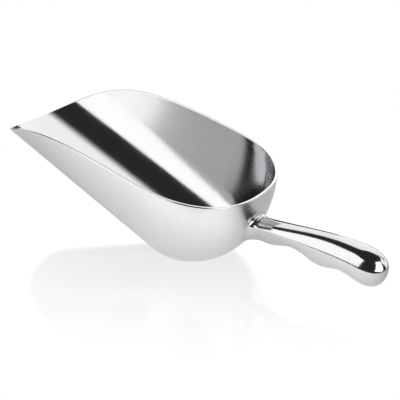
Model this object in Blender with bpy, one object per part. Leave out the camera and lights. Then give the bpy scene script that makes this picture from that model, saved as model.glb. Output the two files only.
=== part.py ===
"""Round-bottomed metal ice scoop: a bowl, a solid handle and the fillet that joins them.

Metres, +Z up. +X runs towards the handle, so the mouth is at -X, and the scoop is
symmetric about the XZ plane. It stands as it is set down: on a small flat ground under
the rear of the bowl, with the trough rising to the mouth and the handle held level.
The origin is the middle of that flat, on the surface the scoop stands on.
"""

import math

import bmesh
import bpy
import numpy as np

MM = 0.001

# Bowl: the outside of its section, arcs as (radius, turn from level at the arc's top end)
SIDE_ARCS = (
    (48.0 * MM, math.radians(35.0)),
    (36.5 * MM, math.radians(70.0)),
    (170.0 * MM, math.radians(88.0)),
)
SPREAD = 0.36  # share by which the section widens, for each metre towards the mouth

# Bowl: the outside of its rear, a tight corner and then a taller curve up the back wall
REAR_ARCS = (
    (19.6 * MM, math.radians(25.0)),
    (83.8 * MM, math.radians(84.2)),
)
REAR_SQUARENESS = 2.36  # superellipse exponent of the closure at the rim; it is 2 at the trough
SQUARING = 0.7  # below 1 the closure grows square early in its climb

# Bowl: pitch, rim and mouth, in side view
TROUGH_PITCH = math.radians(22.5)
RIM_PITCH = math.radians(11.1)
RIM_HEIGHT = 64.1 * MM  # over the floor, straight above the origin
LIP_X = -138.2 * MM
MOUTH_RUN = 115.7 * MM  # from the lip to where the edge has become the straight rim
LIP_PULL = (27.9 * MM, 17.3 * MM)  # how far the edge heads off from the lip, along X and Z
RIM_PULL = 68.3 * MM  # how far the straight rim carries on towards the mouth

WALL = 1.7 * MM
RIM_ROUNDING = 0.7 * MM
RIM_CREASE = math.radians(50.0)  # only edges sharper than this are rounded
REST_CUT = 0.6 * MM  # depth of the flat ground under the bowl
GRINDER = 60.0 * MM  # side of the block that cuts it

# Handle: its outline in side view, as (x, height over the floor), and its half width
HANDLE_TOP = (
    (38.0 * MM, 37.4 * MM),
    (53.5 * MM, 38.6 * MM),
    (68.5 * MM, 40.4 * MM),
    (83.5 * MM, 42.3 * MM),
    (100.0 * MM, 43.6 * MM),
    (113.5 * MM, 43.3 * MM),
    (130.5 * MM, 41.9 * MM),
)
HANDLE_BOTTOM = (
    (38.0 * MM, 25.6 * MM),
    (50.0 * MM, 24.6 * MM),
    (59.0 * MM, 24.2 * MM),
    (66.0 * MM, 26.2 * MM),
    (73.0 * MM, 27.8 * MM),
    (80.0 * MM, 26.2 * MM),
    (87.0 * MM, 23.0 * MM),
    (93.0 * MM, 22.3 * MM),
    (98.5 * MM, 23.4 * MM),
    (103.5 * MM, 24.4 * MM),
    (108.5 * MM, 23.6 * MM),
    (118.5 * MM, 20.0 * MM),
    (130.5 * MM, 16.3 * MM),
)
HANDLE_HALF_WIDTH = (
    (38.0 * MM, 7.0 * MM),
    (58.0 * MM, 7.1 * MM),
    (73.5 * MM, 7.6 * MM),
    (93.5 * MM, 8.6 * MM),
    (113.5 * MM, 9.7 * MM),
    (130.5 * MM, 10.6 * MM),
)
HANDLE_WIDEST = (  # height over the floor at which the section is widest
    (38.0 * MM, 34.6 * MM),
    (60.0 * MM, 35.5 * MM),
    (95.0 * MM, 34.4 * MM),
    (130.5 * MM, 33.0 * MM),
)
HANDLE_END_X = HANDLE_TOP[-1][0]
DOME_LENGTH = 17.1 * MM  # the rounded end
DOME_FULLNESS = 2.2

# Fillet: how far its foot spreads past the handle on the back wall, and its reach along X
FLARE_TOP = (2.5 * MM, 4.5 * MM)
FLARE_SIDE = (3.5 * MM, 6.0 * MM)
FLARE_BOTTOM = (7.2 * MM, 12.5 * MM)
FLARE_START = math.radians(22.0)  # the quarter-round starts here, so its foot has an edge
FLARE_EDGE = 0.4 * MM  # thickness where it ends on the handle

GAP = 0.3 * MM  # between pieces that touch
BEND_REACH = 30.0 * MM  # over this length the handle's rings stop following the back wall

# How finely the surfaces are divided
BOWL_ROWS = 16
ROW_TURN = math.radians(100.0)  # most that the section turns while its rows are spaced by angle
BOWL_SPACING = 6.0 * MM
BACK_COLUMNS = 18
GRIP_RINGS = 40
HANDLE_SIDES = 32
DOME_RINGS = 9
FLARE_STEPS = 7
SHARP = math.radians(40.0)
SAME_PLACE = 0.001 * MM  # vertices this close are one


# ---------------------------------------------------------------- scene and materials


def clear_scene():
    for thing in list(bpy.data.objects):
        bpy.data.objects.remove(thing, do_unlink=True)


def metal(name, colour, roughness):
    material = bpy.data.materials.new(name)
    material.use_nodes = True
    shader = material.node_tree.nodes["Principled BSDF"]
    shader.inputs["Base Color"].default_value = (*colour, 1.0)
    shader.inputs["Metallic"].default_value = 1.0
    shader.inputs["Roughness"].default_value = roughness
    return material


def add_object(name, mesh, material=None):
    piece = bpy.data.objects.new(name, mesh)
    bpy.context.scene.collection.objects.link(piece)
    if material is not None:
        mesh.materials.append(material)
        mesh.shade_smooth()
        mesh.set_sharp_from_angle(angle=SHARP)
    return piece


# ---------------------------------------------------------------- curves


def through(knots, position):
    """Height of the smooth curve through the knots, a cubic Hermite between each two."""
    places, values = np.array(knots).T
    slopes = np.gradient(values, places)
    left = int(np.clip(np.searchsorted(places, position) - 1, 0, len(places) - 2))
    span = places[left + 1] - places[left]
    t = (position - places[left]) / span
    start = (1 + 2 * t) * (1 - t) ** 2 * values[left] + t * (1 - t) ** 2 * span * slopes[left]
    end = t * t * (3 - 2 * t) * values[left + 1] - t * t * (1 - t) * span * slopes[left + 1]
    return start + end


def evenly(points, spacing):
    """The same line with its points spaced evenly along it, about this far apart."""
    points = np.array(points)
    steps = np.linalg.norm(np.diff(points, axis=0), axis=1)
    along = np.concatenate([[0.0], np.cumsum(steps)])
    count = max(2, round(along[-1] / spacing) + 1)
    wanted = np.linspace(0.0, along[-1], count)
    return np.stack([np.interp(wanted, along, column) for column in points.T], axis=1)


# ---------------------------------------------------------------- the bowl's outside


def reach(height, arcs):
    """How far a section has come out at this height: up its arcs, and then straight on."""
    out = 0.0
    start = 0.0
    turned = 0.0
    for radius, turn in arcs:
        rise = radius * (math.cos(turned) - math.cos(turn))
        drop = radius * math.cos(turned) - min(max(height - start, 0.0), rise)
        out += math.sqrt(radius**2 - drop**2) - radius * math.sin(turned)
        start += rise
        turned = turn
    return out + max(height - start, 0.0) / math.tan(turned)


def half_width(height, x):
    return reach(height, SIDE_ARCS) * (1 - SPREAD * min(x, 0.0))


# The trough's straight line ends where the rear corner starts, and the lowest point of
# that corner touches the floor at x = 0 before the flat is ground.
TROUGH_END_X = -REAR_ARCS[0][0] * math.sin(TROUGH_PITCH)
TROUGH_END_Z = REAR_ARCS[0][0] * (1 / math.cos(TROUGH_PITCH) - 1) - REST_CUT


def trough_z(x):
    return TROUGH_END_Z - (x - TROUGH_END_X) * math.tan(TROUGH_PITCH)


def rim_z(x):
    return RIM_HEIGHT - x * math.tan(RIM_PITCH)


def squareness(height):
    """Exponent of the closure's superellipse at this height over the trough line."""
    return 2 + (REAR_SQUARENESS - 2) * min(max(height / RIM_HEIGHT, 0.0), 1.0) ** SQUARING


def mouth_edge():
    """Side view of the edge from the lip to the trough's end, as (x, z) points."""
    rim_x = LIP_X + MOUTH_RUN
    start = np.array([LIP_X, trough_z(LIP_X)])
    end = np.array([rim_x, rim_z(rim_x)])
    leave = start + np.array(LIP_PULL)
    arrive = end + RIM_PULL * np.array([-math.cos(RIM_PITCH), math.sin(RIM_PITCH)])
    curve = []
    for t in np.linspace(0.0, 1.0, 200) ** 2:
        near = (1 - t) ** 3 * start + 3 * t * (1 - t) ** 2 * leave
        curve.append(near + 3 * t * t * (1 - t) * arrive + t**3 * end)
    curve.append(np.array([TROUGH_END_X, rim_z(TROUGH_END_X)]))
    return curve


def front_point(x, height):
    return (x, -half_width(height, x), trough_z(x) + height)


def rear_point(turn, height):
    """A point of the closure: turn is 90 degrees at the side and 0 at the middle of the back."""
    power = 2 / squareness(height)
    x = TROUGH_END_X + reach(height, REAR_ARCS) * abs(math.cos(turn)) ** power
    y = -half_width(height, x) * abs(math.sin(turn)) ** power
    return (x, y, trough_z(x) + height)


def rear_rim_height(turn):
    """Height of the rim over the trough line, on this line of the closure."""
    height = RIM_HEIGHT
    for _ in range(30):
        x = rear_point(turn, height)[0]
        height = rim_z(x) - trough_z(x)
    return height


def bowl_columns():
    """Near half of the outside, as lines of points that climb from the trough to the rim."""
    edge = [front_point(x, z - trough_z(x)) for x, z in mouth_edge()]
    columns = []
    for x, _, z in evenly(edge, BOWL_SPACING):
        columns.append([front_point(x, h) for h in climb(z - trough_z(x))])
    for turn in np.linspace(math.pi / 2, 0.0, BACK_COLUMNS + 1)[1:]:
        columns.append([rear_point(turn, h) for h in climb(rear_rim_height(turn))])
    return columns


def climb(top):
    """Heights from the trough line to the top, closer together where the section is flat."""
    lean = math.acos(np.clip(1 - top / SIDE_ARCS[0][0], math.cos(ROW_TURN), 0.999))
    turns = [lean * row / BOWL_ROWS for row in range(BOWL_ROWS + 1)]
    return [top * (1 - math.cos(turn)) / (1 - math.cos(lean)) for turn in turns]


def wall_x(y, z):
    """X of the back wall's outside at this y and z."""
    low, high = TROUGH_END_X, TROUGH_END_X + 3 * SIDE_ARCS[0][0]
    for _ in range(40):
        x = (low + high) / 2
        height = z - trough_z(x)
        power = squareness(height)
        along = ((x - TROUGH_END_X) / reach(height, REAR_ARCS)) ** power
        across = (abs(y) / half_width(height, x)) ** power
        low, high = (x, high) if along + across < 1 else (low, x)
    return (low + high) / 2


# ---------------------------------------------------------------- meshes


def grid_faces(rings, mesh, closed):
    """Quads between neighbouring rings of vertices; closed rings join up with themselves."""
    for first, second in zip(rings, rings[1:]):
        for side in range(len(first) - (0 if closed else 1)):
            after = (side + 1) % len(first)
            mesh.faces.new((first[side], first[after], second[after], second[side]))


def finish_mesh(name, mesh):
    bmesh.ops.remove_doubles(mesh, verts=mesh.verts, dist=SAME_PLACE)
    bmesh.ops.recalc_face_normals(mesh, faces=mesh.faces)
    data = bpy.data.meshes.new(name)
    mesh.to_mesh(data)
    mesh.free()
    return data


def make_bowl(material):
    """An outer sheet for the near half, mirrored, thickened inwards and rounded at the rim."""
    sheet = bmesh.new()
    columns = [[sheet.verts.new(point) for point in column] for column in bowl_columns()]
    grid_faces(columns, sheet, closed=False)
    bowl = add_object("bowl", finish_mesh("bowl", sheet), material)

    mirror = bowl.modifiers.new("Far half", "MIRROR")
    mirror.use_axis = (False, True, False)
    mirror.merge_threshold = SAME_PLACE
    shell = bowl.modifiers.new("Wall", "SOLIDIFY")
    shell.thickness = WALL
    shell.offset = -1.0
    shell.use_even_offset = True
    rounding = bowl.modifiers.new("Rim", "BEVEL")
    rounding.width = RIM_ROUNDING
    rounding.segments = 2
    rounding.limit_method = "ANGLE"
    rounding.angle_limit = RIM_CREASE
    flat = bowl.modifiers.new("Ground flat", "BOOLEAN")
    flat.operation = "DIFFERENCE"
    flat.object = make_grinder()
    return bowl


def make_grinder():
    """Cuts everything below the floor, which leaves the flat that the scoop rests on."""
    block = bmesh.new()
    bmesh.ops.create_cube(block, size=GRINDER)
    grinder = add_object("grinder", finish_mesh("grinder", block))
    grinder.location.z = -GRINDER / 2
    grinder.hide_render = True
    grinder.display_type = "WIRE"
    return grinder


def handle_section(x, angle, spare=0.0):
    """(y, z) on the handle's outline at this x; spare is added all round."""
    into = (x - HANDLE_END_X + DOME_LENGTH) / DOME_LENGTH
    shrink = math.sqrt(1 - min(max(into, 0.0), 1.0) ** DOME_FULLNESS)
    widest = through(HANDLE_WIDEST, x)
    outline = HANDLE_TOP if math.sin(angle) > 0 else HANDLE_BOTTOM
    rise = abs(through(outline, x) - widest) * shrink + spare
    half = through(HANDLE_HALF_WIDTH, x) * shrink + spare
    return half * math.cos(angle), widest + rise * math.sin(angle)


def around(count):
    return [2 * math.pi * side / count for side in range(count)]


FOOT_MIDDLE_Z = (HANDLE_TOP[0][1] + HANDLE_BOTTOM[0][1]) / 2
FOOT_X = wall_x(0.0, FOOT_MIDDLE_Z)


def from_wall(distance, angle, stand, bend=1.0):
    """Point at this distance behind the back wall and this far out from the handle's side.

    bend is how closely the distance follows the wall's own curve, from 0 to 1.
    """
    x = FOOT_X + GAP + distance
    for _ in range(8):
        y, z = handle_section(x, angle, stand)
        x = FOOT_X + GAP + distance + bend * (wall_x(y, z) - FOOT_X)
    return (x, y, z)


def foot_point(angle, share):
    """Point of the foot's end face, this share of the way from its middle to its edge."""
    _, y, z = from_wall(0.0, angle, 0.0)
    y, z = y * share, FOOT_MIDDLE_Z + (z - FOOT_MIDDLE_Z) * share
    return (wall_x(y, z) + GAP, y, z)


def make_handle(material):
    """Rings along the grip, from a foot that follows the back wall to the domed end."""
    angles = around(HANDLE_SIDES)
    rings = [[foot_point(angle, share) for angle in angles] for share in (0.0, 0.34, 0.67)]
    straight = HANDLE_END_X - DOME_LENGTH - FOOT_X - GAP
    distances = [straight * step / GRIP_RINGS for step in range(GRIP_RINGS)]
    for step in range(DOME_RINGS + 1):
        distances.append(straight + DOME_LENGTH * math.sin(math.pi / 2 * step / DOME_RINGS))
    for distance in distances:
        bend = max(1 - distance / BEND_REACH, 0.0)
        rings.append([from_wall(distance, angle, 0.0, bend) for angle in angles])
    body = bmesh.new()
    grid_faces([[body.verts.new(point) for point in ring] for ring in rings], body, closed=True)
    return add_object("handle", finish_mesh("handle", body), material)


def flare_size(angle):
    """How far the fillet spreads past the handle, and how far it reaches along it, at this angle."""
    upright = FLARE_TOP if math.sin(angle) > 0 else FLARE_BOTTOM
    share = math.sin(angle) ** 2
    return [side + (end - side) * share for side, end in zip(FLARE_SIDE, upright)]


def make_fillet(material):
    """A ring round the handle's foot: wall face, hollow quarter-round, thin edge and bore."""
    ring = bmesh.new()
    loops = [[ring.verts.new(point) for point in flare_loop(angle)]
             for angle in around(HANDLE_SIDES)]
    grid_faces([*loops, loops[0]], ring, closed=True)
    return add_object("handle_fillet", finish_mesh("handle_fillet", ring), material)


def flare_loop(angle):
    """One closed cut through the fillet, in the direction of this angle."""
    spread, along = flare_size(angle)
    loop = []
    for step in range(FLARE_STEPS + 1):
        turn = FLARE_START + (math.pi / 2 - FLARE_START) * step / FLARE_STEPS
        stand = spread * (1 - math.sin(turn)) + GAP + FLARE_EDGE
        loop.append(from_wall(along * (1 - math.cos(turn)), angle, stand))
    for share in (1.0, 0.67, 0.33):
        loop.append(from_wall(along * share, angle, GAP))
    wide = spread * (1 - math.sin(FLARE_START)) + FLARE_EDGE
    for share in (0.0, 0.33, 0.67, 1.0):
        loop.append(from_wall(0.0, angle, GAP + wide * share))
    return loop


def main():
    clear_scene()
    make_bowl(metal("bowl aluminium", (0.80, 0.80, 0.81), 0.22))
    make_handle(metal("handle aluminium", (0.82, 0.82, 0.83), 0.12))
    make_fillet(metal("fillet aluminium", (0.82, 0.82, 0.83), 0.14))


main()
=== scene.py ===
"""Looks of the ice scoop: its finished metal surfaces, the studio it stands in and the camera.

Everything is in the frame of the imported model: metres, +Z up, +X from the mouth to the handle's
end, symmetric about the XZ plane, with the origin in the middle of the flat it stands on.
"""

import math

import bmesh
import bpy
import numpy as np
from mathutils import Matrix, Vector


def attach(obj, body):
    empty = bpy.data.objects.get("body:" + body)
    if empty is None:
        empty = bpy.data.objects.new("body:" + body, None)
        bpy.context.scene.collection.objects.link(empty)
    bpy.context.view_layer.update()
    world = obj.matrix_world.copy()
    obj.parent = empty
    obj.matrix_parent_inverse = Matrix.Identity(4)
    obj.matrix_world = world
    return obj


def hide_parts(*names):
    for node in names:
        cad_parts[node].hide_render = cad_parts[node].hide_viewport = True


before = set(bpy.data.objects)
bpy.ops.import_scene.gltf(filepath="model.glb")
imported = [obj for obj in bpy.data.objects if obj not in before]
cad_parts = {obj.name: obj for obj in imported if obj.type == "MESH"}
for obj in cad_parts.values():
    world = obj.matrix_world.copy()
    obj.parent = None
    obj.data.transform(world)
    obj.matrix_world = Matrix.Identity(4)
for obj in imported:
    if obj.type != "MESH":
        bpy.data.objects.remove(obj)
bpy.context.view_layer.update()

MM = 0.001

# Bowl: the outside of its section, arcs as (radius, turn from level at the arc's top end)
SIDE_ARCS = (
    (48.0 * MM, math.radians(35.0)),
    (36.5 * MM, math.radians(70.0)),
    (170.0 * MM, math.radians(88.0)),
)
SPREAD = 0.36  # share by which the section widens, for each metre towards the mouth

# Bowl: the outside of its rear, a tight corner and then a taller curve up the back wall
REAR_ARCS = (
    (19.6 * MM, math.radians(25.0)),
    (83.8 * MM, math.radians(84.2)),
)
REAR_SQUARENESS = 2.36  # superellipse exponent of the closure at the rim; it is 2 at the trough
SQUARING = 0.7  # below 1 the closure grows square early in its climb

# Bowl: pitch, rim and mouth, in side view
TROUGH_PITCH = math.radians(22.5)
RIM_PITCH = math.radians(11.1)
RIM_HEIGHT = 64.1 * MM  # over the floor, straight above the origin
LIP_X = -138.2 * MM
MOUTH_RUN = 115.7 * MM  # from the lip to where the edge has become the straight rim
LIP_PULL = (27.9 * MM, 17.3 * MM)  # how far the edge heads off from the lip, along X and Z
RIM_PULL = 68.3 * MM  # how far the straight rim carries on towards the mouth

WALL = 1.7 * MM
REST_CUT = 0.6 * MM  # depth of the flat ground under the bowl

# Handle: its outline in side view, as (x, height over the floor), and its half width
HANDLE_TOP = (
    (38.0 * MM, 37.4 * MM),
    (53.5 * MM, 38.6 * MM),
    (68.5 * MM, 40.4 * MM),
    (83.5 * MM, 42.3 * MM),
    (100.0 * MM, 43.6 * MM),
    (113.5 * MM, 43.3 * MM),
    (130.5 * MM, 41.9 * MM),
)
HANDLE_BOTTOM = (
    (38.0 * MM, 25.6 * MM),
    (50.0 * MM, 24.6 * MM),
    (59.0 * MM, 24.2 * MM),
    (66.0 * MM, 26.2 * MM),
    (73.0 * MM, 27.8 * MM),
    (80.0 * MM, 26.2 * MM),
    (87.0 * MM, 23.0 * MM),
    (93.0 * MM, 22.3 * MM),
    (98.5 * MM, 23.4 * MM),
    (103.5 * MM, 24.4 * MM),
    (108.5 * MM, 23.6 * MM),
    (118.5 * MM, 20.0 * MM),
    (130.5 * MM, 16.3 * MM),
)
HANDLE_HALF_WIDTH = (
    (38.0 * MM, 7.0 * MM),
    (58.0 * MM, 7.1 * MM),
    (73.5 * MM, 7.6 * MM),
    (93.5 * MM, 8.6 * MM),
    (113.5 * MM, 9.7 * MM),
    (130.5 * MM, 10.6 * MM),
)
HANDLE_WIDEST = (
    (38.0 * MM, 34.6 * MM),
    (60.0 * MM, 35.5 * MM),
    (95.0 * MM, 34.4 * MM),
    (130.5 * MM, 33.0 * MM),
)
HANDLE_END_X = HANDLE_TOP[-1][0]
DOME_LENGTH = 17.1 * MM  # the rounded end
DOME_FULLNESS = 2.2

HANDLE_FOOT_Z = (HANDLE_TOP[0][1] + HANDLE_BOTTOM[0][1]) / 2

# Flare that joins the handle to the back wall, as (spread over the wall, reach along the handle)
FLARE_TOP = (2.5 * MM, 4.5 * MM)
FLARE_SIDE = (3.5 * MM, 6.0 * MM)
FLARE_BOTTOM = (7.2 * MM, 12.5 * MM)
BEND_REACH = 30.0 * MM  # over this length the handle's rings stop following the back wall

# The rim's rounding: how far it reaches down the wall, and its superellipse exponent
RIM_ROUND = 0.7 * MM
RIM_FULLNESS = 2.5

# How finely the surfaces are divided
MOUTH_COLUMNS = 110
BACK_COLUMNS = 64
BOWL_ROWS = 56
ROW_TURN = math.radians(100.0)  # most that the section turns while its rows are spaced by angle
RIM_STEPS = 10
GRIP_SIDES = 96
GRIP_RINGS = 150
DOME_RINGS = 26
FLARE_RINGS = 30
SAME_PLACE = 0.0002 * MM  # vertices this close are one
BURY = 0.15 * MM  # how deep the hidden end of a piece runs into its neighbour

# The trough's straight line ends where the rear corner starts
TROUGH_END_X = -REAR_ARCS[0][0] * math.sin(TROUGH_PITCH)
TROUGH_END_Z = REAR_ARCS[0][0] * (1 / math.cos(TROUGH_PITCH) - 1) - REST_CUT


# ---------------------------------------------------------------- the bowl's outside surface


def reach(height, arcs):
    """How far a section has come out at this height: up its arcs, and then straight on."""
    out = 0.0
    start = 0.0
    turned = 0.0
    for radius, turn in arcs:
        rise = radius * (math.cos(turned) - math.cos(turn))
        drop = radius * math.cos(turned) - np.clip(height - start, 0.0, rise)
        out = out + np.sqrt(radius**2 - drop**2) - radius * math.sin(turned)
        start += rise
        turned = turn
    return out + np.maximum(height - start, 0.0) / math.tan(turned)


def half_width(height, x):
    return reach(height, SIDE_ARCS) * (1 - SPREAD * np.minimum(x, 0.0))


def trough_z(x):
    return TROUGH_END_Z - (x - TROUGH_END_X) * math.tan(TROUGH_PITCH)


def rim_z(x):
    return RIM_HEIGHT - x * math.tan(RIM_PITCH)


def squareness(height):
    return 2 + (REAR_SQUARENESS - 2) * np.clip(height / RIM_HEIGHT, 0.0, 1.0) ** SQUARING


def mouth_edge():
    """Side view of the edge from the lip to the trough's end, as (x, z) points."""
    rim_x = LIP_X + MOUTH_RUN
    start = np.array([LIP_X, trough_z(LIP_X)])
    end = np.array([rim_x, rim_z(rim_x)])
    leave = start + np.array(LIP_PULL)
    arrive = end + RIM_PULL * np.array([-math.cos(RIM_PITCH), math.sin(RIM_PITCH)])
    t = np.linspace(0.0, 1.0, 2000)[:, None] ** 2
    curve = (1 - t) ** 3 * start + 3 * t * (1 - t) ** 2 * leave
    curve += 3 * t * t * (1 - t) * arrive + t**3 * end
    return np.vstack([curve, [TROUGH_END_X, rim_z(TROUGH_END_X)]])


def front_point(x, height):
    return np.stack([x, -half_width(height, x), trough_z(x) + height], axis=-1)


def rear_point(turn, height):
    power = 2 / squareness(height)
    x = TROUGH_END_X + reach(height, REAR_ARCS) * np.abs(np.cos(turn)) ** power
    y = -half_width(height, x) * np.abs(np.sin(turn)) ** power
    return np.stack([x, y, trough_z(x) + height], axis=-1)


def spread_rate(height, arcs):
    """Square root of the height over the reach, without dividing by nothing at the bottom."""
    radius, turn = arcs[0]
    lowest = 1 / np.sqrt(np.maximum(2 * radius - height, 1e-9))
    higher = np.sqrt(np.maximum(height, 1e-12)) / np.maximum(reach(height, arcs), 1e-9)
    return np.where(height < radius * (1 - math.cos(turn)), lowest, higher)


def outside(points):
    """Zero on the bowl's outside, positive outside it, and smooth across the trough line."""
    x, y, z = np.moveaxis(points, -1, 0)
    height = z - trough_z(x)
    side = spread_rate(height, SIDE_ARCS)
    rear = spread_rate(height, REAR_ARCS)
    across = np.abs(y) * side / (1 - SPREAD * np.minimum(x, 0.0))
    along = np.maximum(x - TROUGH_END_X, 0.0) * rear
    power = squareness(height)
    return (across**power + along**power) ** (2 / power) - height


def outward(points):
    """Unit normals of the bowl's outside at these points of it."""
    step = 0.002 * MM
    slopes = []
    for axis in range(3):
        shift = np.zeros(3)
        shift[axis] = step
        slopes.append(outside(points + shift) - outside(points - shift))
    normals = np.stack(slopes, axis=-1)
    return normals / np.linalg.norm(normals, axis=-1, keepdims=True)


def resample(points, count):
    """The same line with this many points spaced evenly along it."""
    steps = np.linalg.norm(np.diff(points, axis=0), axis=1)
    along = np.concatenate([[0.0], np.cumsum(steps)])
    wanted = np.linspace(0.0, along[-1], count)
    return np.stack([np.interp(wanted, along, column) for column in points.T], axis=1)


def rim_line():
    """Near half of the rim's outer edge, from the middle of the lip to the middle of the back."""
    side = mouth_edge()
    front = resample(front_point(side[:, 0], side[:, 1] - trough_z(side[:, 0])), MOUTH_COLUMNS)
    turns = np.linspace(math.pi / 2, 0.0, 400)
    height = np.full(len(turns), RIM_HEIGHT)
    for _ in range(40):
        x = rear_point(turns, height)[:, 0]
        height = rim_z(x) - trough_z(x)
    rear = resample(rear_point(turns, height), BACK_COLUMNS + 1)
    return np.vstack([front, rear[1:]])


def set_back(edge, normals):
    """The edge line moved down the wall by the rim's rounding, and the way out of the wall."""
    along = np.gradient(edge, axis=0)
    along[0] = (0.0, -1.0, 0.0)
    along[-1] = (0.0, 1.0, 0.0)
    out = np.cross(normals, along)
    out /= np.linalg.norm(out, axis=1, keepdims=True)
    back = edge - RIM_ROUND * out
    for _ in range(3):
        slope = (outside(back + 1e-6 * normals) - outside(back - 1e-6 * normals)) / 2e-6
        back -= (outside(back) / slope)[:, None] * normals
    back[[0, -1], 1] = 0.0
    return back, out


def climb(top):
    """Shares of the height from the trough line to the top, one row for each top."""
    lean = np.arccos(np.clip(1 - top / SIDE_ARCS[0][0], math.cos(ROW_TURN), 0.9999))
    rows = np.linspace(0.0, 1.0, BOWL_ROWS + 1)
    return (1 - np.cos(lean[:, None] * rows)) / (1 - np.cos(lean))[:, None]


def bowl_grid(back):
    """Outside of the near half as lines of points, from the trough line to the set-back edge."""
    heights = back[:, 2] - trough_z(back[:, 0])
    shares = climb(heights)
    rows = np.linspace(0.0, 1.0, BOWL_ROWS + 1)
    columns = []
    for index, point in enumerate(back):
        height = heights[index] * shares[index]
        if index < MOUTH_COLUMNS:
            foot = back[0, 0] + (TROUGH_END_X - back[0, 0]) * index / (MOUTH_COLUMNS - 1)
            columns.append(front_point(foot + (point[0] - foot) * rows, height))
        else:
            power = squareness(heights[index]) / 2
            along = ((point[0] - TROUGH_END_X) / reach(heights[index], REAR_ARCS)) ** power
            across = (-point[1] / half_width(heights[index], point[0])) ** power
            columns.append(rear_point(np.full(BOWL_ROWS + 1, math.atan2(across, along)), height))
    return np.array(columns)


def rim_rows(back, normals, out):
    """Points and normals over the rounded rim, from the outside to the inside."""
    turns = np.linspace(0.0, math.pi, RIM_STEPS + 1)[1:-1]
    power = 2 / RIM_FULLNESS
    across = np.sign(np.cos(turns)) * np.abs(np.cos(turns)) ** power
    up = np.sin(turns) ** power
    lean = np.sign(np.cos(turns)) * np.abs(np.cos(turns)) ** (2 - power) / (WALL / 2)
    rise = np.sin(turns) ** (2 - power) / RIM_ROUND
    middle = back - WALL / 2 * normals
    points = middle[:, None] + WALL / 2 * across[:, None] * normals[:, None]
    points += RIM_ROUND * up[:, None] * out[:, None]
    facing = lean[:, None] * normals[:, None] + rise[:, None] * out[:, None]
    return points, facing / np.linalg.norm(facing, axis=-1, keepdims=True)


def bowl_surface():
    """Points and normals of the near half: outside, rim and inside, as one grid of columns."""
    edge = rim_line()
    edge_normals = outward(edge)
    back, out = set_back(edge, edge_normals)
    back_normals = outward(back)
    outer = bowl_grid(back)
    normals = outward(outer)
    normals[:, 0, 1] = 0.0
    normals[[0, -1], :, 1] = 0.0
    normals /= np.linalg.norm(normals, axis=-1, keepdims=True)
    over, over_normals = rim_rows(back, back_normals, out)
    inner = (outer - WALL * normals)[:, ::-1]
    points = np.concatenate([outer, over, inner], axis=1)
    return points, np.concatenate([normals, over_normals, -normals[:, ::-1]], axis=1)


# ---------------------------------------------------------------- the handle's surface


def through(knots, position):
    """Height of the smooth curve through the knots, a cubic Hermite between each two."""
    places, values = np.array(knots).T
    slopes = np.gradient(values, places)
    left = np.clip(np.searchsorted(places, position) - 1, 0, len(places) - 2)
    span = places[left + 1] - places[left]
    t = (position - places[left]) / span
    start = (1 + 2 * t) * (1 - t) ** 2 * values[left] + t * (1 - t) ** 2 * span * slopes[left]
    end = t * t * (3 - 2 * t) * values[left + 1] - t * t * (1 - t) * span * slopes[left + 1]
    return start + end


def handle_section(x, angle, stand):
    """(y, z) on the handle's outline at this x, this far out from its side."""
    into = np.clip((x - HANDLE_END_X + DOME_LENGTH) / DOME_LENGTH, 0.0, 1.0)
    shrink = np.sqrt(1 - into**DOME_FULLNESS)
    widest = through(HANDLE_WIDEST, x)
    upper = through(HANDLE_TOP, x) - widest
    lower = widest - through(HANDLE_BOTTOM, x)
    rise = np.where(np.sin(angle) > 0, upper, lower) * shrink + stand
    half = through(HANDLE_HALF_WIDTH, x) * shrink + stand
    return half * np.cos(angle), widest + rise * np.sin(angle)


def wall_x(y, z):
    """X of the back wall's outside at these y and z."""
    low = np.full(np.shape(y), TROUGH_END_X)
    high = low + 3 * SIDE_ARCS[0][0]
    for _ in range(45):
        x = (low + high) / 2
        inside = outside(np.stack([x, y, z], axis=-1)) < 0
        low = np.where(inside, x, low)
        high = np.where(inside, high, x)
    return (low + high) / 2


FOOT_X = float(wall_x(np.array(0.0), np.array(HANDLE_FOOT_Z)))


def from_wall(distance, angle, stand, bend):
    """Points at this distance behind the back wall and this far out from the handle's side."""
    x = FOOT_X + distance + np.zeros(np.shape(angle))
    for _ in range(10):
        y, z = handle_section(x, angle, stand)
        x = FOOT_X + distance + bend * (wall_x(y, z) - FOOT_X)
    y, z = handle_section(x, angle, stand)
    return np.stack([x, y, z], axis=-1)


def flare_size(angle):
    """(spread, reach) of the flare at this angle round the handle."""
    upright = np.where(np.sin(angle)[..., None] > 0, FLARE_TOP, FLARE_BOTTOM)
    share = np.sin(angle)[..., None] ** 2
    size = FLARE_SIDE + (upright - FLARE_SIDE) * share
    return size[..., 0], size[..., 1]


def flare_point(turn, angle):
    """The flare's hollow quarter-round, from the wall at turn 0 to the handle at 90 degrees."""
    spread, reach_out = flare_size(angle)
    return from_wall(reach_out * (1 - np.cos(turn)), angle, spread * (1 - np.sin(turn)), 1.0)


def grip_point(distance, angle):
    bend = np.maximum(1 - distance / BEND_REACH, 0.0)
    return from_wall(distance, angle, 0.0, bend)


def facing_out(surface, first, second):
    """Unit normals of surface(first, second), from its slopes in both."""
    step = 1e-5
    one = surface(first + step, second) - surface(first - step, second)
    two = surface(first, second + step) - surface(first, second - step)
    normals = np.cross(two, one)
    return normals / np.maximum(np.linalg.norm(normals, axis=-1, keepdims=True), 1e-15)


# ---------------------------------------------------------------- meshes


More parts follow.
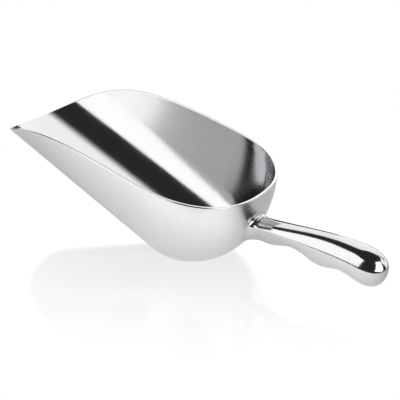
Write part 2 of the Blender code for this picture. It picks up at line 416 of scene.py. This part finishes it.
def add_grid(mesh, points, normals, slots):
    """Quads over a grid of points. Its lines are closed rings; slots gives each row's material."""
    layer = mesh.verts.layers.float_vector["facing"]
    grid = []
    for line, line_normals in zip(points, normals):
        verts = [mesh.verts.new(point) for point in line]
        for vert, normal in zip(verts, line_normals):
            vert[layer] = normal
        grid.append(verts)
    for row, slot in enumerate(slots):
        first, second = grid[row], grid[row + 1]
        for side in range(len(first)):
            after = (side + 1) % len(first)
            face = mesh.faces.new((first[side], first[after], second[after], second[side]))
            face.material_index = slot
            face.smooth = True


def new_mesh():
    mesh = bmesh.new()
    mesh.verts.layers.float_vector.new("facing")
    return mesh


def finish_piece(name, mesh, materials, shown):
    """The mesh as an object whose shown faces are shaded by the formula's own normals."""
    bmesh.ops.remove_doubles(mesh, verts=mesh.verts, dist=SAME_PLACE)
    bmesh.ops.recalc_face_normals(mesh, faces=mesh.faces)
    layer = mesh.verts.layers.float_vector["facing"]
    corners = []
    for face in mesh.faces:
        for loop in face.loops:
            corners.append(Vector(loop.vert[layer]) if shown(face) else Vector((0, 0, 0)))
    data = bpy.data.meshes.new(name)
    mesh.to_mesh(data)
    mesh.free()
    data.normals_split_custom_set(corners)
    data.attributes.remove(data.attributes["facing"])
    piece = bpy.data.objects.new(name, data)
    bpy.context.scene.collection.objects.link(piece)
    for material in materials:
        data.materials.append(material)
    return piece


def on_ground(face):
    return all(vert.co.z < SAME_PLACE for vert in face.verts)


def make_bowl(outside_metal, rim_metal, inside_metal):
    """The shell: outside, rounded rim and inside, with the flat ground under its rear."""
    points, normals = bowl_surface()
    mirror = np.array([1.0, -1.0, 1.0])
    points = np.concatenate([points, points[-2:0:-1] * mirror])
    normals = np.concatenate([normals, normals[-2:0:-1] * mirror])
    rows = points.swapaxes(0, 1)
    slots = [0] * BOWL_ROWS + [1] * RIM_STEPS + [2] * BOWL_ROWS
    shell = new_mesh()
    add_grid(shell, rows, normals.swapaxes(0, 1), slots)
    everything = [*shell.verts, *shell.edges, *shell.faces]
    bmesh.ops.bisect_plane(shell, geom=everything, plane_co=(0, 0, 0), plane_no=(0, 0, 1))
    for vert in shell.verts:
        vert.co.z = max(vert.co.z, 0.0)
    metals = [outside_metal, rim_metal, inside_metal]
    return finish_piece("bowl_shell", shell, metals, lambda face: not on_ground(face))


def grip_at(turn, angle):
    """Point of the grip: turn is -1 at the wall, 0 at the dome and 90 degrees at the end."""
    straight = HANDLE_END_X - DOME_LENGTH - FOOT_X
    level = np.minimum(turn, 0.0) * straight
    over = DOME_LENGTH * np.sin(np.clip(turn, 0.0, math.pi / 2))
    return grip_point(straight + level + over, angle)


def make_grip(metal):
    """The grip, from inside the back wall to its domed end."""
    angles = np.linspace(0.0, 2 * math.pi, GRIP_SIDES, endpoint=False)[None, :]
    level = np.linspace(-1.0, 0.0, GRIP_RINGS, endpoint=False)
    turns = np.concatenate([level, np.linspace(0.0, math.pi / 2, DOME_RINGS + 1)])[:, None]
    points = grip_at(turns, angles)
    normals = facing_out(grip_at, turns, angles)
    normals[-1] = (1.0, 0.0, 0.0)
    foot = points[0] - (BURY, 0.0, 0.0)
    middle = foot.mean(axis=0)
    cap = [middle + share * (foot - middle) for share in (0.0, 0.35, 0.7, 1.0)]
    points = np.concatenate([cap, points])
    normals = np.concatenate([np.tile((-1.0, 0.0, 0.0), (len(cap), GRIP_SIDES, 1)), normals])
    grip = new_mesh()
    add_grid(grip, points, normals, [0] * (len(points) - 1))
    wall = FOOT_X - BURY / 2
    return finish_piece("handle_grip", grip, [metal], lambda face: face.calc_center_median().x > wall)


def make_flare(metal):
    """The ring of metal that spreads the handle's foot over the back wall."""
    angles = np.linspace(0.0, 2 * math.pi, GRIP_SIDES, endpoint=False)[None, :]
    turns = np.linspace(0.0, math.pi / 2, FLARE_RINGS + 1)[:, None]
    points = flare_point(turns, angles)
    normals = facing_out(flare_point, turns, angles)
    round_it = angles[0]
    spread, reach_out = flare_size(round_it)
    hidden = [
        from_wall(reach_out - BURY, round_it, -BURY, 1.0),
        from_wall(reach_out / 2, round_it, -BURY, 1.0),
        from_wall(-BURY, round_it, -BURY, 1.0),
        from_wall(-BURY, round_it, spread / 2, 1.0),
        from_wall(-BURY, round_it, spread, 1.0),
    ]
    count = len(hidden)
    points = np.concatenate([points, hidden, points[:1]])
    normals = np.concatenate([normals, np.zeros((count, GRIP_SIDES, 3)), normals[:1]])
    flare = new_mesh()
    slots = [0] * FLARE_RINGS + [1] * (count + 1)
    add_grid(flare, points, normals, slots)
    piece = finish_piece("handle_flare", flare, [metal], lambda face: face.material_index == 0)
    # The second slot only marked the hidden faces
    for polygon in piece.data.polygons:
        polygon.material_index = 0
    return piece


# ---------------------------------------------------------------- studio

# The camera: where it looks, from which side and how far off
LOOK_AT = Vector((0.4, 6.2, 32.5)) * MM
CAMERA_AZIMUTH = math.radians(36.56)
CAMERA_ELEVATION = math.radians(27.94)
CAMERA_DISTANCE = 501.8 * MM
CAMERA_LENS = 71.9  # mm

# The studio's own directions: to the camera's right, away from the camera, and up
SIDEWAYS = Vector((math.cos(CAMERA_AZIMUTH), math.sin(CAMERA_AZIMUTH), 0.0))
AWAY = Vector((-math.sin(CAMERA_AZIMUTH), math.cos(CAMERA_AZIMUTH), 0.0))

# Floor: it ends in front of the scoop, and mirrors it faintly where it stands
FLOOR_NEAR = -0.145
FLOOR_FAR = 0.5
FLOOR_SIDE = 1.6
# Painted shade: the floor that the metal mirrors glows dimmer under and behind the scoop, in place of
# the scoop's shadow, and brighter in front of it
FLOOR_GLOW = (0.75, 1.75)  # from the floor behind the scoop to the floor in front of it
FLOOR_FADE = (0.0, 0.112)  # where that change starts and ends, along the slope
FLOOR_SLOPE = Vector((0.24, -0.97, 0.0))
# Painted light: a pool of extra glow on the mirrored floor, in front of the handle
PATCH_GLOW = 0.3  # a brighter patch in front of the handle
PATCH_PLACE = Vector((0.089, -0.027, 0.0))
PATCH_REACH = 0.09
FLOOR_LIGHT_DEPTH = 0.5 * MM  # under the floor that is seen
FLOOR_MIRROR = 0.27  # share of the light that the floor mirrors under the scoop
FLOOR_ROUGHNESS = 0.10
MIRROR_REACH = (0.20, 0.12, 1.0)  # how far the floor mirrors, sideways and towards the camera
ROOM_DARK = 0.04  # strength of the light from where there is no panel
SURROUND_RADIUS = 8.0
SENSOR_WIDTH = 36.0  # mm

# Light panels: name, strength, how much of it fades out behind its first edge, and its corners
# as (sideways, away, height). The first edge runs between the first two corners.
LEFT_GLOW = 2.2
RIGHT_GLOW = 3.0
REAR_GLOW = 1.85
PANELS = (
    ("left_top", LEFT_GLOW, 0.0, (
        (-0.08, -0.36, 0.42), (-0.205, 0.06, 0.41), (-1.6, 0.11, 0.41), (-1.6, -0.36, 0.42),
    )),
    ("left_front", LEFT_GLOW, 0.0, (
        (-0.33, -0.45, -0.05), (-0.08, -0.36, 0.42), (-1.6, -0.36, 0.42), (-1.6, -0.45, -0.05),
    )),
    ("right_box", RIGHT_GLOW, 0.0, (
        (0.14, -0.53, -0.01), (0.27, -0.27, 0.41), (0.41, -0.12, 0.37), (0.45, -0.35, -0.03),
    )),
    ("rear_roof", REAR_GLOW, 0.06, (
        (-0.75, 0.92, 0.42), (0.05, 0.04, 0.42), (1.40, 0.72, 1.0), (0.43, 2.0, 1.0),
    )),
    ("right_top", REAR_GLOW, 0.0, (
        (0.52, -0.15, 0.42), (0.60, 0.28, 0.42), (1.6, 0.60, 0.42), (1.6, -0.10, 0.42),
    )),
    ("right_side", REAR_GLOW, 0.0, (
        (1.5, -0.1, 0.0), (1.5, -0.1, 0.45), (1.5, 1.05, 0.45), (1.5, 1.05, 0.0),
    )),
    ("right_corner", REAR_GLOW, 0.0, (
        (0.35, 1.05, 0.3), (1.6, 1.05, 0.3), (1.6, 1.05, 0.0), (0.35, 1.05, 0.0),
    )),
    ("rear_wall", REAR_GLOW, 0.0, (
        (-1.6, 1.1, 1.0), (1.6, 1.1, 1.0), (1.6, 1.1, 0.28), (-1.6, 1.1, 0.28),
    )),
)


def in_studio(sideways, away, height):
    return SIDEWAYS * sideways + AWAY * away + Vector((0.0, 0.0, height))


def stage_quad(name, corners, material):
    """A quad of the studio, whose v coordinate runs from its first two corners to its last two."""
    data = bpy.data.meshes.new(name)
    data.from_pydata([in_studio(*corner) for corner in corners], [], [range(4)])
    across = data.uv_layers.new(name="across")
    for loop, spot in zip(across.data, ((0, 0), (1, 0), (1, 1), (0, 1))):
        loop.uv = spot
    data.materials.append(material)
    quad = bpy.data.objects.new(name, data)
    bpy.context.scene.collection.objects.link(quad)
    return quad


def new_material(name):
    """An empty node material, as its nodes, its links and its output."""
    material = bpy.data.materials.new(name)
    material.use_nodes = True
    tree = material.node_tree
    tree.nodes.clear()
    output = tree.nodes.new("ShaderNodeOutputMaterial")
    return material, tree, output


def ramp(tree, value, low, high, start, end, smooth=False):
    """A Map Range node that takes value from low..high to start..end."""
    node = tree.nodes.new("ShaderNodeMapRange")
    node.interpolation_type = "SMOOTHSTEP" if smooth else "LINEAR"
    for socket, number in zip(("From Min", "From Max", "To Min", "To Max"), (low, high, start, end)):
        node.inputs[socket].default_value = number
    tree.links.new(value, node.inputs["Value"])
    return node.outputs["Result"]


def glow(name, strength, soft):
    """Light of one strength that fades out over this share of the quad, behind its first edge."""
    material, tree, output = new_material(name)
    light = tree.nodes.new("ShaderNodeEmission")
    light.inputs["Strength"].default_value = strength
    if soft:
        place = tree.nodes.new("ShaderNodeUVMap")
        split = tree.nodes.new("ShaderNodeSeparateXYZ")
        tree.links.new(place.outputs["UV"], split.inputs["Vector"])
        faded = ramp(tree, split.outputs["Y"], 0.0, soft, ROOM_DARK, strength, smooth=True)
        tree.links.new(faded, light.inputs["Strength"])
    tree.links.new(light.outputs["Emission"], output.inputs["Surface"])
    return material


def glowing_top(name, strength, patch):
    """A glow on the upper side only, which changes from one strength to the other along the slope."""
    material, tree, output = new_material(name)
    place = tree.nodes.new("ShaderNodeNewGeometry")
    along = tree.nodes.new("ShaderNodeVectorMath")
    along.operation = "DOT_PRODUCT"
    along.inputs[1].default_value = FLOOR_SLOPE
    tree.links.new(place.outputs["Position"], along.inputs[0])
    light = tree.nodes.new("ShaderNodeEmission")
    lit = ramp(tree, along.outputs["Value"], *FLOOR_FADE, *strength)
    gap = tree.nodes.new("ShaderNodeVectorMath")
    gap.operation = "DISTANCE"
    gap.inputs[1].default_value = PATCH_PLACE
    tree.links.new(place.outputs["Position"], gap.inputs[0])
    more = ramp(tree, gap.outputs["Value"], 0.0, PATCH_REACH, patch, 0.0, smooth=True)
    total = tree.nodes.new("ShaderNodeMath")
    tree.links.new(lit, total.inputs[0])
    tree.links.new(more, total.inputs[1])
    tree.links.new(total.outputs["Value"], light.inputs["Strength"])
    clear = tree.nodes.new("ShaderNodeBsdfTransparent")
    sides = tree.nodes.new("ShaderNodeMixShader")
    tree.links.new(place.outputs["Backfacing"], sides.inputs["Fac"])
    tree.links.new(light.outputs["Emission"], sides.inputs[1])
    tree.links.new(clear.outputs["BSDF"], sides.inputs[2])
    tree.links.new(sides.outputs["Shader"], output.inputs["Surface"])
    return material, tree, light, sides


def floor_material():
    """A white floor, unseen from below, that mirrors the scoop a little where it stands."""
    material, tree, light, sides = glowing_top("floor_white", (1.0, 1.0), 0.0)
    mirror = tree.nodes.new("ShaderNodeBsdfGlossy")
    mirror.inputs["Roughness"].default_value = FLOOR_ROUGHNESS
    place = tree.nodes.new("ShaderNodeNewGeometry")
    shares = tree.nodes.new("ShaderNodeMapping")
    shares.vector_type = "TEXTURE"
    shares.inputs["Rotation"].default_value = (0.0, 0.0, CAMERA_AZIMUTH)
    shares.inputs["Scale"].default_value = MIRROR_REACH
    tree.links.new(place.outputs["Position"], shares.inputs["Vector"])
    length = tree.nodes.new("ShaderNodeVectorMath")
    length.operation = "LENGTH"
    tree.links.new(shares.outputs["Vector"], length.inputs[0])
    share = ramp(tree, length.outputs["Value"], 0.0, 1.0, FLOOR_MIRROR, 0.0, smooth=True)
    top = tree.nodes.new("ShaderNodeMixShader")
    tree.links.new(share, top.inputs["Fac"])
    tree.links.new(light.outputs["Emission"], top.inputs[1])
    tree.links.new(mirror.outputs["BSDF"], top.inputs[2])
    tree.links.new(top.outputs["Shader"], sides.inputs[1])
    return material


def make_floor():
    """The floor that is seen, and just under it the brighter one that the metal mirrors."""
    for name, depth, material in (
        ("floor", 0.0, floor_material()),
        # floor_glow holds painted shade under and behind the scoop and a painted pool of light in
        # front of the handle
        ("floor_light", FLOOR_LIGHT_DEPTH, glowing_top("floor_glow", FLOOR_GLOW, PATCH_GLOW)[0]),
    ):
        corners = (
            (-FLOOR_SIDE, FLOOR_NEAR, -depth),
            (FLOOR_SIDE, FLOOR_NEAR, -depth),
            (FLOOR_SIDE, FLOOR_FAR, -depth),
            (-FLOOR_SIDE, FLOOR_FAR, -depth),
        )
        quad = stage_quad(name, corners, material)
        quad.visible_camera = depth == 0.0
        quad.visible_glossy = depth > 0.0


def make_surround():
    """White all round for the camera's own rays. The metal mirrors the dark room instead."""
    ball = bmesh.new()
    bmesh.ops.create_icosphere(ball, subdivisions=3, radius=SURROUND_RADIUS)
    data = bpy.data.meshes.new("surround")
    ball.to_mesh(data)
    ball.free()
    data.materials.append(glow("surround_white", 1.0, 0.0))
    surround = bpy.data.objects.new("surround", data)
    bpy.context.scene.collection.objects.link(surround)
    surround.visible_glossy = False
    surround.visible_diffuse = False
    surround.visible_shadow = False


def make_lights():
    world = bpy.data.worlds.new("dark_room")
    bpy.context.scene.world = world
    world.use_nodes = True
    room = world.node_tree.nodes["Background"]
    room.inputs["Color"].default_value = (1.0, 1.0, 1.0, 1.0)
    room.inputs["Strength"].default_value = ROOM_DARK
    for name, strength, soft, corners in PANELS:
        panel = stage_quad(name, corners, glow(name, strength, soft))
        panel.visible_camera = False


def make_camera():
    data = bpy.data.cameras.new("camera")
    data.lens = CAMERA_LENS
    data.sensor_width = SENSOR_WIDTH
    data.clip_start = 0.01
    data.clip_end = 2.5 * SURROUND_RADIUS
    camera = bpy.data.objects.new("camera", data)
    flat = math.cos(CAMERA_ELEVATION)
    back = Vector((0.0, 0.0, math.sin(CAMERA_ELEVATION))) - AWAY * flat
    camera.location = LOOK_AT + back * CAMERA_DISTANCE
    camera.rotation_euler = (-back).to_track_quat("-Z", "Y").to_euler()
    bpy.context.scene.collection.objects.link(camera)
    bpy.context.scene.camera = camera
    bpy.context.scene.view_settings.view_transform = "Standard"


# ---------------------------------------------------------------- metals

# Where the bowl's side walls start, out from its middle, where they end, towards the handle,
# and where its back wall starts. Each is a soft change, from the first place to the second.
WALL_START = (25.0 * MM, 42.0 * MM)
WALL_END = (-15.0 * MM, 20.0 * MM)
BACK_START = (33.0 * MM, 43.0 * MM)
NOISE_RANGE = (0.3, 0.7)  # the values that noise mostly stays between


def softer_walls(tree, place, gloss, extra):
    """Adds this much roughness over the bowl's side and back walls, polished less than the trough."""
    parts = tree.nodes.new("ShaderNodeSeparateXYZ")
    tree.links.new(place, parts.inputs["Vector"])
    aside = tree.nodes.new("ShaderNodeMath")
    aside.operation = "ABSOLUTE"
    tree.links.new(parts.outputs["Y"], aside.inputs[0])
    climbing = ramp(tree, aside.outputs["Value"], *WALL_START, 0.0, extra, smooth=True)
    ending = ramp(tree, parts.outputs["X"], *WALL_END, 1.0, 0.0, smooth=True)
    sides = tree.nodes.new("ShaderNodeMath")
    sides.operation = "MULTIPLY"
    tree.links.new(climbing, sides.inputs[0])
    tree.links.new(ending, sides.inputs[1])
    behind = ramp(tree, parts.outputs["X"], *BACK_START, 0.0, extra, smooth=True)
    walls = tree.nodes.new("ShaderNodeMath")
    walls.operation = "MAXIMUM"
    tree.links.new(sides.outputs["Value"], walls.inputs[0])
    tree.links.new(behind, walls.inputs[1])
    total = tree.nodes.new("ShaderNodeMath")
    tree.links.new(gloss, total.inputs[0])
    tree.links.new(walls.outputs["Value"], total.inputs[1])
    return total.outputs["Value"]


def metal(name, dark, light, gloss, wave, grain, softer=0.0):
    """Bare metal: its two tones, its roughness range, and the size and depth of its wave and grain."""
    material, tree, output = new_material(name)
    shader = tree.nodes.new("ShaderNodeBsdfPrincipled")
    shader.inputs["Metallic"].default_value = 1.0
    place = tree.nodes.new("ShaderNodeTexCoord").outputs["Object"]
    wave_size, wave_depth = wave
    grain_size, grain_stretch, grain_depth = grain
    cloud = tree.nodes.new("ShaderNodeTexNoise")
    cloud.inputs["Scale"].default_value = 1 / wave_size
    cloud.inputs["Detail"].default_value = 1.0
    tree.links.new(place, cloud.inputs["Vector"])
    stretch = tree.nodes.new("ShaderNodeMapping")
    stretch.inputs["Scale"].default_value = (1 / grain_stretch, 1.0, 1.0)
    tree.links.new(place, stretch.inputs["Vector"])
    lines = tree.nodes.new("ShaderNodeTexNoise")
    lines.inputs["Scale"].default_value = 1 / grain_size
    lines.inputs["Detail"].default_value = 3.0
    tree.links.new(stretch.outputs["Vector"], lines.inputs["Vector"])
    tones = tree.nodes.new("ShaderNodeMix")
    tones.data_type = "RGBA"
    tones.inputs["A"].default_value = (*dark, 1.0)
    tones.inputs["B"].default_value = (*light, 1.0)
    tree.links.new(ramp(tree, lines.outputs["Fac"], *NOISE_RANGE, 0.0, 1.0), tones.inputs["Factor"])
    tree.links.new(tones.outputs["Result"], shader.inputs["Base Color"])
    rough = ramp(tree, cloud.outputs["Fac"], *NOISE_RANGE, *gloss)
    tree.links.new(softer_walls(tree, place, rough, softer), shader.inputs["Roughness"])
    wavy = tree.nodes.new("ShaderNodeBump")
    wavy.inputs["Distance"].default_value = wave_depth
    tree.links.new(cloud.outputs["Fac"], wavy.inputs["Height"])
    scored = tree.nodes.new("ShaderNodeBump")
    scored.inputs["Distance"].default_value = grain_depth
    tree.links.new(lines.outputs["Fac"], scored.inputs["Height"])
    tree.links.new(wavy.outputs["Normal"], scored.inputs["Normal"])
    tree.links.new(scored.outputs["Normal"], shader.inputs["Normal"])
    tree.links.new(shader.outputs["BSDF"], output.inputs["Surface"])
    return material


make_camera()
make_floor()
make_surround()
make_lights()

satin = metal(
    "satin_outside", (0.52, 0.52, 0.53), (0.58, 0.58, 0.59), (0.28, 0.33),
    wave=(30 * MM, 0.02 * MM), grain=(0.5 * MM, 9.0, 0.004 * MM),
)
polished = metal(
    "polished_inside", (0.44, 0.44, 0.45), (0.47, 0.47, 0.48), (0.09, 0.12),
    wave=(18 * MM, 0.004 * MM), grain=(0.4 * MM, 12.0, 0.0002 * MM), softer=0.13,
)
edge = metal(
    "worn_rim", (0.50, 0.50, 0.51), (0.62, 0.62, 0.63), (0.14, 0.25),
    wave=(6 * MM, 0.01 * MM), grain=(0.6 * MM, 5.0, 0.004 * MM),
)
dressed = metal(
    "polished_handle", (0.41, 0.41, 0.42), (0.45, 0.45, 0.46), (0.10, 0.14),
    wave=(12 * MM, 0.010 * MM), grain=(0.4 * MM, 8.0, 0.0006 * MM),
)

made = (
    (make_bowl(satin, edge, polished), "bowl"),
    (make_grip(dressed), "handle"),
    (make_flare(dressed), "handle_fillet"),
)
for piece, node in made:
    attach(piece, "root")
    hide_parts(node)
